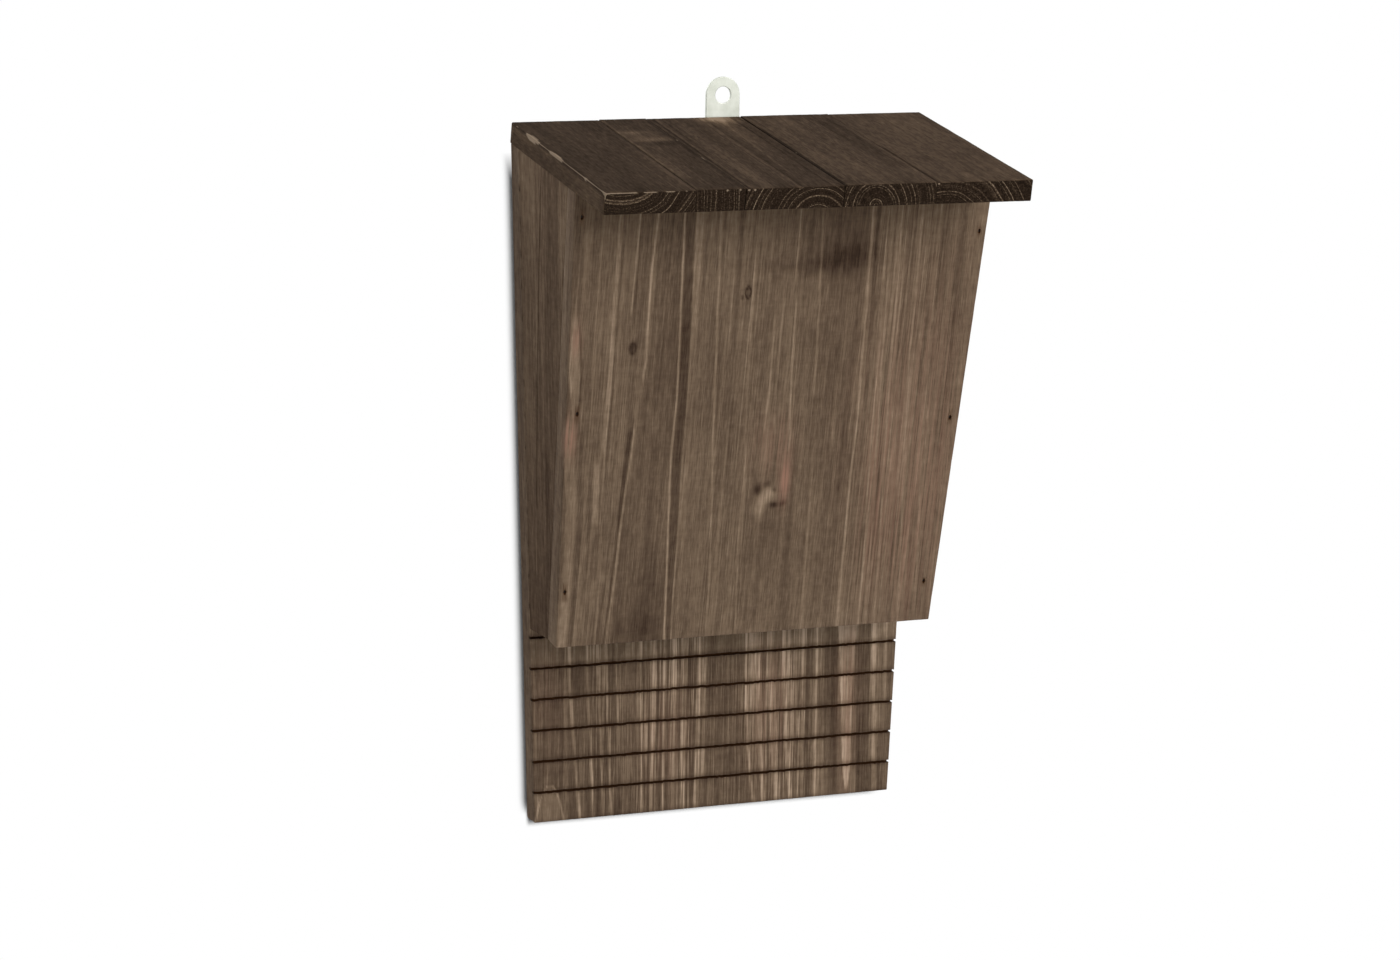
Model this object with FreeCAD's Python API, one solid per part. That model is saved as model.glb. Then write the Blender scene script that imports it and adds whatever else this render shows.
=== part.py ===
import FreeCAD, Part
import math
import os

# Wooden bat box for hanging on a wall, in millimetres.
# The origin is the centre of the hanger's hole, in the plane of the back board's rear face.
# +X is to the right seen from the front, +Y points into the wall and +Z is up.

# Overall sizes
overall_height = 370.0         # top of the hanger to the foot of the back board
overall_depth = 125.0          # rear face to the front edge of the roof
overall_width = 220.0          # across the roof
slope_deg = 10.0               # fall of the roof, and lean of the front board square to it

# Hanger strap
hanger_width = 18.0            # both ends are rounded to half of this
hanger_thickness = 1.5
hanger_hole_diameter = 8.4
hanger_drop = 52.0             # hole to the centre of the strap's lower round end
hanger_offset = 2.5            # strap to the right of the box's middle
hole_above_roof = 10.7         # hole to the roof's top rear edge

# Boards
roof_thickness = 10.5
roof_side_overhang = 0.4
back_thickness = 11.0
front_thickness = 11.0
side_thickness = 11.0
back_foot_width = 195.5        # the sides draw in to this at the foot
front_board_length = 230.5
entrance_gap = 24.2            # way in, between the back board and the front board's lower edge

# Staves of the roof, from the left; the last one takes the rest of the width
stave_widths = (45.5, 25.0, 50.5, 48.0)
stave_rises = (0.0, 0.25, 0.05, 0.35, 0.15)
stave_ease = 0.5               # small chamfer round each stave's upper face

# Saw kerfs across the back board
kerf_pitch = 16.0
kerf_width = 1.3
kerf_depth = 2.5
foot_land = 15.5               # foot of the back board to the middle of the lowest kerf
head_land = 16.0               # least height left above the highest kerf

# Pins: thin headless brads, driven below the surface
pin_diameter = 1.4
pin_length = 22.0
pin_sunk = 1.0
# Front pins, driven by eye: inset from the left or right edge at the top, middle and bottom
left_pin_insets = (3.8, 5.8, 3.5)
right_pin_insets = (3.7, 4.8, 6.0)
left_top_pin_drop = 12.0       # down the front board from its upper edge
right_top_pin_drop = 26.0
left_low_pin_rise = 29.0       # up the front board from its lower edge
right_low_pin_rise = 21.5
left_middle_pin_drop = 110.0
right_middle_pin_drop = 122.0
back_pin_margin = 40.0         # rear pins from the upper and lower ends of the side boards

# Round-head screws that hold the hanger
screw_diameter = 3.5
screw_head_diameter = 7.0
screw_head_height = 2.4
screw_length = 10.0            # under the head
screw_top_drop = 33.0          # hole to the upper screw
screw_spacing = 17.0
slot_width = 1.0
slot_depth = 1.1

# Cutting tools run this far past what they cut
overrun = 5.0

# A point this near to a plane lies in it
plane_tolerance = 1e-6

# Values that follow
sin_slope = math.sin(math.radians(slope_deg))
cos_slope = math.cos(math.radians(slope_deg))
tan_slope = math.tan(math.radians(slope_deg))
middle_x = -hanger_offset
head_z = -hole_above_roof - roof_thickness * cos_slope
foot_z = hanger_width / 2 - overall_height
back_height = head_z - foot_z
back_head_width = overall_width - 2 * roof_side_overhang
side_taper = (back_head_width - back_foot_width) / 2 / back_height
roof_length = (overall_depth - roof_thickness * sin_slope) / cos_slope
inner_depth_low = back_thickness + entrance_gap
front_inner_along = (inner_depth_low + front_board_length * sin_slope) / cos_slope
front_outer_along = front_inner_along + front_thickness


def on_slope(x, along, below):
    """Point `along` the roof's underside from its rear edge, and `below` it square to the slope."""
    return FreeCAD.Vector(
        x,
        -along * cos_slope + below * sin_slope,
        head_z - along * sin_slope - below * cos_slope,
    )


def side_x(side, z, inset=0.0):
    """X of a leaning side at height z, or of a plane `inset` within it; side is -1 left, 1 right."""
    half = back_head_width / 2 - (head_z - z) * side_taper - inset * math.hypot(1, side_taper)
    return middle_x + side * half


def face_through(points):
    return Part.Face(Part.makePolygon(points + points[:1]))


def board_between(profile, left, right):
    """Board with this profile in the YZ plane, between two leaning planes given as (side, inset)."""
    left_end = middle_x - overall_width / 2 - overrun
    start = FreeCAD.Vector(left_end, 0, 0)
    blank = face_through([start + point for point in profile]).extrude(
        FreeCAD.Vector(2 * (middle_x - left_end), 0, 0)
    )
    corners = []
    for (side, inset), z in ((left, foot_z), (right, foot_z), (right, head_z), (left, head_z)):
        corners.append(FreeCAD.Vector(side_x(side, z, inset), overrun, z))
    depth = FreeCAD.Vector(0, -overall_depth - overrun, 0)
    return blank.common(face_through(corners).extrude(depth))


def make_back_board():
    """Board with its head bevelled to the roof and kerfs sawn across its face."""
    profile = [
        FreeCAD.Vector(0, 0, foot_z),
        FreeCAD.Vector(0, 0, head_z),
        FreeCAD.Vector(0, -back_thickness, head_z - back_thickness * tan_slope),
        FreeCAD.Vector(0, -back_thickness, foot_z),
    ]
    board = board_between(profile, (-1, 0), (1, 0))
    count = int((back_height - foot_land - head_land) // kerf_pitch) + 1
    kerfs = []
    for number in range(count):
        middle_z = foot_z + foot_land + number * kerf_pitch
        corner = FreeCAD.Vector(
            middle_x - overall_width / 2, -back_thickness - overrun, middle_z - kerf_width / 2
        )
        kerfs.append(Part.makeBox(overall_width, overrun + kerf_depth, kerf_width, corner))
    return board.cut(kerfs)


def make_front_board():
    """Board that leans back, its square upper end flat against the roof."""
    profile = [
        on_slope(0, front_inner_along, 0),
        on_slope(0, front_outer_along, 0),
        on_slope(0, front_outer_along, front_board_length),
        on_slope(0, front_inner_along, front_board_length),
    ]
    return board_between(profile, (-1, 0), (1, 0))


def side_foot_z():
    """The side boards end level with the front board's inner lower edge."""
    return on_slope(0, front_inner_along, front_board_length).z


def make_side_board(side):
    """Wedge-shaped board between the back and front boards."""
    profile = [
        FreeCAD.Vector(0, -back_thickness, side_foot_z()),
        FreeCAD.Vector(0, -back_thickness, head_z - back_thickness * tan_slope),
        on_slope(0, front_inner_along, 0),
        on_slope(0, front_inner_along, front_board_length),
    ]
    planes = ((side, 0), (side, side_thickness))
    return board_between(profile, *planes)


def make_roof_staves():
    """Glued staves of unequal width, a little out of level with each other."""
    edges = [middle_x - overall_width / 2]
    for width in stave_widths:
        edges.append(edges[-1] + width)
    edges.append(middle_x + overall_width / 2)
    staves = []
    for left, right, rise in zip(edges, edges[1:], stave_rises):
        top = -roof_thickness - rise
        section = [
            on_slope(left, 0, 0),
            on_slope(right, 0, 0),
            on_slope(right, 0, top),
            on_slope(left, 0, top),
        ]
        run = on_slope(0, roof_length, 0) - on_slope(0, 0, 0)
        stave = face_through(section).extrude(run)
        staves.append(stave.makeChamfer(stave_ease, upper_edges(stave, top)))
    return staves


def upper_edges(stave, top):
    """Edges of a stave that lie in its upper face."""
    corner = on_slope(0, 0, top)
    up = FreeCAD.Vector(0, -sin_slope, cos_slope)
    return [
        edge
        for edge in stave.Edges
        if all(abs((vertex.Point - corner).dot(up)) < plane_tolerance for vertex in edge.Vertexes)
    ]


def make_hanger_plate():
    """Flat strap with round ends, a hole above the roof and two screw holes behind the board."""
    radius = hanger_width / 2
    back = FreeCAD.Vector(0, 1, 0)
    strap = Part.makeBox(
        hanger_width, hanger_thickness, hanger_drop, FreeCAD.Vector(-radius, 0, -hanger_drop)
    )
    for z in (0, -hanger_drop):
        end = Part.makeCylinder(radius, hanger_thickness, FreeCAD.Vector(0, 0, z), back)
        strap = strap.fuse(end)
    holes = [Part.makeCylinder(hanger_hole_diameter / 2, hanger_thickness, FreeCAD.Vector(), back)]
    for z in screw_heights():
        at = FreeCAD.Vector(0, 0, z)
        holes.append(Part.makeCylinder(screw_diameter / 2, hanger_thickness, at, back))
    return strap.removeSplitter().cut(holes)


def screw_heights():
    return (-screw_top_drop, -screw_top_drop - screw_spacing)


def make_screws():
    """Domed slotted screws, driven from behind through the strap into the back board."""
    screws = []
    inwards = FreeCAD.Vector(0, -1, 0)
    for z in screw_heights():
        seat = FreeCAD.Vector(0, hanger_thickness, z)
        shank = Part.makeCylinder(screw_diameter / 2, screw_length, seat, inwards)
        half = screw_head_diameter / 2
        dome_radius = (half ** 2 + screw_head_height ** 2) / (2 * screw_head_height)
        dome_centre = seat + FreeCAD.Vector(0, screw_head_height - dome_radius, 0)
        ball = Part.makeSphere(dome_radius, dome_centre)
        blank = Part.makeCylinder(half, screw_head_height, seat, FreeCAD.Vector(0, 1, 0))
        slot = Part.makeBox(
            screw_head_diameter,
            slot_depth,
            slot_width,
            seat + FreeCAD.Vector(-half, screw_head_height - slot_depth, -slot_width / 2),
        )
        screws.append(blank.common(ball).fuse(shank).removeSplitter().cut(slot))
    return screws


def screw_holes():
    return [
        Part.makeCylinder(
            screw_diameter / 2,
            screw_length,
            FreeCAD.Vector(0, hanger_thickness, z),
            FreeCAD.Vector(0, -1, 0),
        )
        for z in screw_heights()
    ]


def make_pin(surface, inwards):
    """Pin sunk below `surface`, and the hole that it is driven into."""
    radius = pin_diameter / 2
    pin = Part.makeCylinder(radius, pin_length, surface + inwards * pin_sunk, inwards)
    mouth = surface - inwards * overrun
    hole = Part.makeCylinder(radius, overrun + pin_sunk + pin_length, mouth, inwards)
    return pin, hole


def front_pins(side, insets, drops):
    """Pins through the front board into the front edge of a side board."""
    inwards = FreeCAD.Vector(0, cos_slope, sin_slope)
    made = []
    for inset, drop in zip(insets, drops):
        z = on_slope(0, front_outer_along, drop).z
        x = side_x(side, z, inset)
        made.append(make_pin(on_slope(x, front_outer_along, drop), inwards))
    return made


def back_pins(side):
    """Pins through the back board into the rear edge of a side board."""
    upper = head_z - back_pin_margin
    lower = side_foot_z() + back_pin_margin
    made = []
    for z in (upper, (upper + lower) / 2, lower):
        x = side_x(side, z, side_thickness / 2)
        made.append(make_pin(FreeCAD.Vector(x, 0, z), FreeCAD.Vector(0, -1, 0)))
    return made


def build():
    """Every piece of the box, by name."""
    left_drops = (left_top_pin_drop, left_middle_pin_drop, front_board_length - left_low_pin_rise)
    right_drops = (
        right_top_pin_drop,
        right_middle_pin_drop,
        front_board_length - right_low_pin_rise,
    )
    pins = {
        "front_pins_left": front_pins(-1, left_pin_insets, left_drops),
        "front_pins_right": front_pins(1, right_pin_insets, right_drops),
        "back_pins_left": back_pins(-1),
        "back_pins_right": back_pins(1),
    }
    holes = {name: [hole for pin, hole in made] for name, made in pins.items()}
    pieces = {
        "back_board": make_back_board().cut(
            holes["back_pins_left"] + holes["back_pins_right"] + screw_holes()
        ),
        "front_board": make_front_board().cut(
            holes["front_pins_left"] + holes["front_pins_right"]
        ),
        "side_board_left": make_side_board(-1).cut(
            holes["front_pins_left"] + holes["back_pins_left"]
        ),
        "side_board_right": make_side_board(1).cut(
            holes["front_pins_right"] + holes["back_pins_right"]
        ),
        "hanger_plate": make_hanger_plate(),
        "hanger_screws": Part.makeCompound(make_screws()),
    }
    for number, stave in enumerate(make_roof_staves(), 1):
        pieces[f"roof_stave_{number}"] = stave
    for name, made in pins.items():
        pieces[name] = Part.makeCompound([pin for pin, hole in made])
    return pieces


def main():
    os.makedirs("parts", exist_ok=True)
    for name, piece in build().items():
        piece.exportStep(f"parts/{name}.step")
        print(name, len(piece.Solids), "solid(s)", round(piece.Volume / 1000, 2), "cm3", piece.isValid())


main()
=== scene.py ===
# Looks of the wooden bat box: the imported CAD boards, dressed with grain, wear, stain and light.
# Sizes are in millimetres until a mesh is made. X is to the right, Y into the wall and Z up.
import math
from functools import partial

import bmesh
import bpy
import numpy as np
from mathutils import Matrix, Vector


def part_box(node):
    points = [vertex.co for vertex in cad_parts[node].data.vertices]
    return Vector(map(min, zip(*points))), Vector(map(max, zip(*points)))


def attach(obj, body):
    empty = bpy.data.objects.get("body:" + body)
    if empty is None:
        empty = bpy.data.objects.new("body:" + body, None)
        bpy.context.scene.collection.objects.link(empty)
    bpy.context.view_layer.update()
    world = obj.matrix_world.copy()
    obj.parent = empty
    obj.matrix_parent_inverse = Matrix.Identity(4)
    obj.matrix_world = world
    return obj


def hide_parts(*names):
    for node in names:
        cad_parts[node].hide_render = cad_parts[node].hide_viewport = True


MM = 0.001

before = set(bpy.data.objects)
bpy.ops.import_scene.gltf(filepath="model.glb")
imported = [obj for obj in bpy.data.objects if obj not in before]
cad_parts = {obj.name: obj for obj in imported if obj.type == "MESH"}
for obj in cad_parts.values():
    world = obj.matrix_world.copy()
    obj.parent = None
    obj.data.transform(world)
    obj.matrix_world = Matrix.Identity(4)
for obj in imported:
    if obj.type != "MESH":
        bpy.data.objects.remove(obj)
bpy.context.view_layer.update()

# Directions of the box
ROOF_SLOPE = math.radians(10)
RIGHT = np.array([1.0, 0.0, 0.0])
BACK = np.array([0.0, 1.0, 0.0])
UP = np.array([0.0, 0.0, 1.0])
ROOF_UP = np.array([0.0, -math.sin(ROOF_SLOPE), math.cos(ROOF_SLOPE)])
ROOF_FORWARD = np.array([0.0, -math.cos(ROOF_SLOPE), -math.sin(ROOF_SLOPE)])
FRONT_INWARDS = -ROOF_FORWARD  # the front board stands square to the roof
SIDES = ("left", "right")

# Boards' grids: distance between lines across and along the grain
ACROSS = 0.6
ACROSS_FRONT = 0.5
ACROSS_BACK = 0.75
ALONG = 3.5
ALONG_FRONT = 5.8
ALONG_LANDING = 2.7
ALONG_FOOT = 1.3
ALONG_FINE = 1.2
THROUGH, THROUGH_BACK, THROUGH_STAVE = 5.0, 5.5, 1.2       # the same through a board's thickness
BOARD_EASE = 0.45              # radius of the planed arrises
STAVE_EASE = 0.6
SHARP = math.radians(35)       # faces that turn by more than this meet in a sharp edge
SAME = 0.01                    # points nearer than this lie on one level
PIN_SPACING = 20               # pins stand further apart than this


# Reading the frame

def cad_points(node):
    """Corners of a CAD node's triangles, in mm."""
    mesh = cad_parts[node].data
    points = np.zeros(len(mesh.vertices) * 3)
    mesh.vertices.foreach_get("co", points)
    return points.reshape(-1, 3) / MM


def outer_corners(node, axes):
    """The eight corners of a board, as [low/high on each axis], from its furthest points."""
    points = cad_points(node)
    corners = np.zeros((2, 2, 2, 3))
    for i, j, k in np.ndindex(2, 2, 2):
        signs = np.array([i, j, k]) * 2 - 1
        reach = points @ (signs @ np.array(axes))
        corners[i, j, k] = points[np.argmax(reach)]
    return corners


def box_corners(node, axes):
    """The same for a square-cut piece whose edges are eased: the corners of its box along the axes."""
    axes = np.array(axes)
    along = cad_points(node) @ axes.T
    ends = np.array([along.min(0), along.max(0)])
    corners = np.zeros((2, 2, 2, 3))
    for i, j, k in np.ndindex(2, 2, 2):
        corners[i, j, k] = np.array([ends[i, 0], ends[j, 1], ends[k, 2]]) @ axes
    return corners


def pin_heads(node, inwards):
    """Centre of each pin's driven end, and the pins' length, from the CAD node."""
    points = cad_points(node)
    points = points[np.argsort(points[:, 2])]
    breaks = np.where(np.diff(points[:, 2]) > PIN_SPACING)[0] + 1
    heads = []
    for pin in np.split(points, breaks):
        depth = pin @ inwards
        heads.append(pin[depth < depth.min() + SAME].mean(0))
    return heads, depth.max() - depth.min()


# Noise for shapes

HASH_PRIMES = (73856093, 19349663, 83492791)
HASH_SEED, HASH_MIX = 2654435761, 1274126177


def value_noise(points, cell, seed):
    """Smooth noise from -1 to 1 at points, which changes over the three lengths in cell."""
    scaled = points / np.array(cell)
    base = np.floor(scaled).astype(np.int64)
    part = scaled - base
    part = part * part * (3 - 2 * part)
    total = np.zeros(len(points))
    for corner in np.ndindex(2, 2, 2):
        spot = base + np.array(corner)
        mixed = seed * HASH_SEED
        for axis, prime in enumerate(HASH_PRIMES):
            mixed = spot[:, axis] * prime ^ mixed
        mixed = (mixed ^ (mixed >> 13)) * HASH_MIX & 0xFFFFFFFF
        mixed = (mixed ^ (mixed >> 16)) & 0xFFFF
        weight = np.prod(np.where(corner, part, 1 - part), axis=1)
        total += weight * (2 * mixed / 0xFFFF - 1)
    return total


def smooth(value):
    """Eases a share from 0 to 1, without a kink at either end."""
    value = np.clip(value, 0, 1)
    return value * value * (3 - 2 * value)


# Marks that lie along the grain. Each streak is a run of (height, place) points,
# its half width in mm and its tone: above 0 paler than the board, below 0 darker.

SOFT_EDGE = 0.35               # half width of a streak's soft edge
END_FADE = 7.0                 # a streak fades in and out over this length


def lay_streaks(place, height, streaks):
    """Sum of the tones of all streaks at each (place across, height)."""
    total = np.zeros(len(place))
    for points, half_width, tone in streaks:
        heights = [-point[0] for point in points]
        centre = np.interp(-height, heights, [point[1] for point in points])
        if np.ndim(half_width):
            half_width = np.interp(-height, heights, half_width)
        cover = smooth((half_width + SOFT_EDGE - np.abs(place - centre)) / (2 * SOFT_EDGE))
        reach = smooth((-height - heights[0]) / END_FADE) * smooth((heights[-1] + height) / END_FADE)
        total += tone * cover * reach
    return total


def lay_patches(place, height, patches):
    """Sum of the tones of soft oval patches, each (place, height, half width, half height, tone)."""
    total = np.zeros(len(place))
    for centre, level, half_width, half_height, tone in patches:
        far = np.hypot((place - centre) / half_width, (height - level) / half_height)
        total += tone * np.exp(-far ** 2)
    return total


HEAD, FOOT = -20, -290         # heights beyond both ends of the boards of the box

FRONT_STREAKS = (
    # Left of the plain zone
    (((HEAD, -104), (-88, -102), (-110, -101.5)), 2.0, 0.22),
    (((HEAD, -96.5), (-120, -96), (FOOT, -93)), 0.5, 0.2),
    (((HEAD, -87.8), (-120, -87), (-165, -87)), 1.2, 0.42),
    (((HEAD, -85.6), (-130, -85.2), (-175, -85)), 0.8, -0.28),
    (((-150, -87), (-200, -85.2), (FOOT, -82)), 0.8, 0.2),
    (((HEAD, -77.8), (-100, -78.4)), 0.55, 0.6),
    (((HEAD, -76.3), (-104, -77)), 0.9, -0.5),
    (((HEAD, -73), (-115, -72.6)), 2.4, -0.18),
    (((HEAD, -67.6), (-75, -69.8), (-119, -69), (-134, -70.6)), 0.5, 0.7),
    # Plain zone, and the main dark line with its pale edges
    (((HEAD, -61), (-130, -60), (-200, -62), (FOOT, -61)), (5.5, 8, 12, 15), -0.12),
    (((HEAD, -49.2), (-48, -48.7), (-76, -47.6), (-105, -46.4), (-140, -45.7), (-166, -45.4), (-201, -44.2),
      (-233, -44), (FOOT, -41.6)), 0.4, 0.4),
    (((HEAD, -56.2), (-48, -55.3), (-76, -53.9), (-105, -52.7), (-140, -51.5), (-166, -51.6), (-201, -50),
      (-233, -48.2), (FOOT, -44.6)), 0.45, 0.85),
    (((HEAD, -53), (-48, -52), (-76, -50.7), (-105, -49.4), (-140, -48.4), (-166, -48.4), (-201, -47),
      (-233, -45.9), (FOOT, -43)), (2.4, 2.4, 2.2, 2.3, 2.1, 2.3, 2.0, 1.4, 0.8), -0.5),
    (((HEAD, -47), (-140, -44), (FOOT, -39.5)), 1.3, 0.2),
    # Low marks that slant to the left
    (((-147, -73.6), (-169, -74.5), (-200, -76), (-231, -77.2), (FOOT, -79.5)), (1.3, 1.3, 0.7, 0.5, 0.4),
     -0.55),
    (((-147, -71.8), (-169, -72.7), (-190, -74.1), (-210, -75.2), (-231, -76), (FOOT, -78.3)), 0.5, 0.65),
    (((-190, -79), (-230, -80.5), (FOOT, -83.5)), 0.4, -0.35),
    (((-165, -90), (-205, -87.9)), 1.5, 0.45),
    # Sapwood by the left edge
    (((-88, -106.5), (-96, -106.4), (-108, -105.9), (-122, -105.2), (-133, -104.4), (-141, -102.8),
      (-150, -102.2)), (0.1, 0.5, 2.0, 2.9, 2.4, 0.9, 0.3), 0.5),
    (((-90, -107.4), (-108, -107.8), (-122, -107.9), (-136, -106), (-150, -103)), 0.5, 0.4),
    (((-92, -105.2), (-108, -103.2), (-127, -101.8), (-150, -101.2)), 0.5, -0.3),
    (((-142, -106), (-150, -105.2), (-160, -105), (-188, -101.7), (-219, -100.9), (FOOT, -100)),
     (1.0, 2.6, 2.7, 2.6, 2.4, 2.0), 0.42),
    (((-150, -99.5), (-188, -97), (FOOT, -95.5)), 1.0, -0.3),
    # Middle, from left to right
    (((HEAD, -38), (-106, -33.2), (-156, -30.4), (-224, -25.5), (FOOT, -23)), 0.5, 0.45),
    (((HEAD, -35.8), (-106, -31.6), (-156, -29)), 0.6, -0.2),
    (((HEAD, -29.6), (-120, -25.8)), 0.5, 0.36),
    (((HEAD, -26.5), (-140, -22), (-200, -20)), 0.8, -0.18),
    (((-60, -17), (-150, -13.5), (-240, -8)), 0.6, 0.28),
    (((-200, -12), (-235, -10), (FOOT, -7)), 0.6, 0.42),
    (((-95, -3.2), (-138, -2.1), (-160, -3.4)), 0.5, 0.5),
    (((-90, 0.6), (-160, 2.2)), 0.4, 0.36),
    (((-42, 5), (-85, 6)), 0.45, 0.5),
    (((-88, 7.2), (-123, 8.5), (-172, 11.3)), 0.55, 0.62),
    (((HEAD, 10.5), (-150, 13.5), (FOOT, 20)), 1.6, -0.14),
    (((-44, 16.4), (-94, 19.7), (-145, 22)), 0.55, 0.48),
    (((HEAD, 32), (-160, 34), (FOOT, 38)), 9.0, -0.12),
    (((-128, 33), (-172, 34.6)), 0.9, 0.32),
    (((-165, 24), (FOOT, 28.5)), 0.6, 0.3),
    # Slanting line right of the middle, and the close fine lines beside it
    (((HEAD, 42.4), (-100, 44.8), (-160, 46.9), (-186, 46.2), (-228, 46.8), (FOOT, 48)), 0.6, 0.55),
    (((HEAD, 46.2), (-70, 46.9), (-100, 48.2), (-150, 50)), 1.1, -0.46),
    (((HEAD, 50), (-110, 53.6), (-187, 56.5), (FOOT, 60.5)), 0.45, 0.46),
    (((HEAD, 52), (-110, 55.8), (-187, 60), (FOOT, 64)), 0.4, 0.34),
    (((HEAD, 54.5), (-110, 58), (-187, 62), (FOOT, 66.5)), 0.7, -0.26),
    (((HEAD, 58), (-110, 61), (-187, 64.6), (FOOT, 69.5)), 0.5, 0.42),
    (((HEAD, 61), (-120, 63.5), (-187, 67), (FOOT, 72)), 0.4, 0.26),
    (((HEAD, 66), (-120, 68), (-187, 71.5), (FOOT, 77)), 0.8, -0.22),
    (((HEAD, 69.5), (-120, 71.5), (-187, 75.6), (FOOT, 83)), 0.5, 0.3),
    (((HEAD, 75), (-140, 78.5), (-200, 82), (FOOT, 87)), 0.9, -0.22),
    (((HEAD, 79.5), (-140, 82.5), (-200, 86), (FOOT, 92.5)), 0.5, 0.25),
    (((HEAD, 86), (-150, 89), (FOOT, 95.5)), 0.5, 0.2),
    (((HEAD, 92), (-150, 94), (FOOT, 97)), 1.0, -0.16),
    (((HEAD, 104), (-150, 100.6), (FOOT, 96)), 1.3, 0.14),
)
FRONT_PATCHES = (
    # Dark stain under the roof
    (33, -72.5, 16, 8.5, -0.4),
    (34, -60, 20, 19, -0.24),
    (40.5, -71, 6.0, 7.0, -0.34),
    (21, -74, 8.0, 5.5, -0.26),
    (8, -76, 23, 4.0, -0.28),
    # Pale spots and scratches
    (-61.9, -151, 2.0, 5.0, 0.3),
    (-81.5, -230.5, 1.6, 3.2, 0.4),
    (-86.0, -238.0, 1.2, 4.5, 0.3),
    (76.6, -114, 0.7, 4.0, 0.45),
    (78.0, -121, 0.6, 2.6, 0.35),
    (82.0, -158, 0.6, 2.2, 0.4),
    (86.0, -165, 0.7, 2.6, 0.35),
    (85.2, -154.5, 0.7, 0.9, 0.9),
    # Broad tones
    (-60, -257, 14, 9, -0.42),
    (-60, -240, 11, 34, -0.34),
    (76, -150, 22, 110, 0.16),
    (-82, -85, 11, 50, 0.14),
    # Halos of two knots, then the lowest knot's pale heart and dark spots
    (-76.2, -113, 4.2, 5.5, -0.15),
    (-18.8, -88, 3.0, 4.5, -0.12),
    (2.6, -191.5, 3.6, 4.6, 0.95),
    (-1.5, -197.0, 3.0, 5.0, 0.55),
    (-3.0, -187.0, 1.9, 2.7, -1.35),
    (1.6, -184.6, 1.7, 1.6, -0.7),
    (5.0, -189.3, 1.3, 1.6, -1.0),
    (5.8, -196.4, 2.3, 1.6, -1.25),
    (10.5, -196.2, 2.0, 1.6, -0.9),
)
ROSY_PATCHES = (
    (80, -160, 30, 70, 0.35),
    (84, -225, 16, 45, 0.28),
    (10.7, -184, 2.4, 11, 1.3),
    (2, -165, 10, 14, 0.45),
    (62, -190, 7, 50, 0.3),
    (-105.2, -156, 3.0, 9, 1.4),
    (-105.6, -108, 2.4, 8, 1.0),
)
FINE_PATCHES = (
    (66, -150, 17, 170, 0.4),
    (-92, -200, 8, 120, 0.3),
)
# Heights between which the front board needs close rows: the stain, the knots and the lowest knot
FRONT_FINE_ROWS = ((-94, -58), (-119, -107), (-203, -178))
# Knots, as (x, z, half width, half height, tone of the heart, tone of the ring)
KNOTS = (
    (-76.2, -113.1, 1.9, 3.0, -0.7, -0.4),
    (-18.6, -87.9, 1.5, 2.6, -0.2, -1.0),
    (-21.6, -90.2, 0.9, 1.2, -0.6, 0.0),
)

UPPER, LOWER = -255, -372      # heights beyond both ends of the landing board

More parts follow.
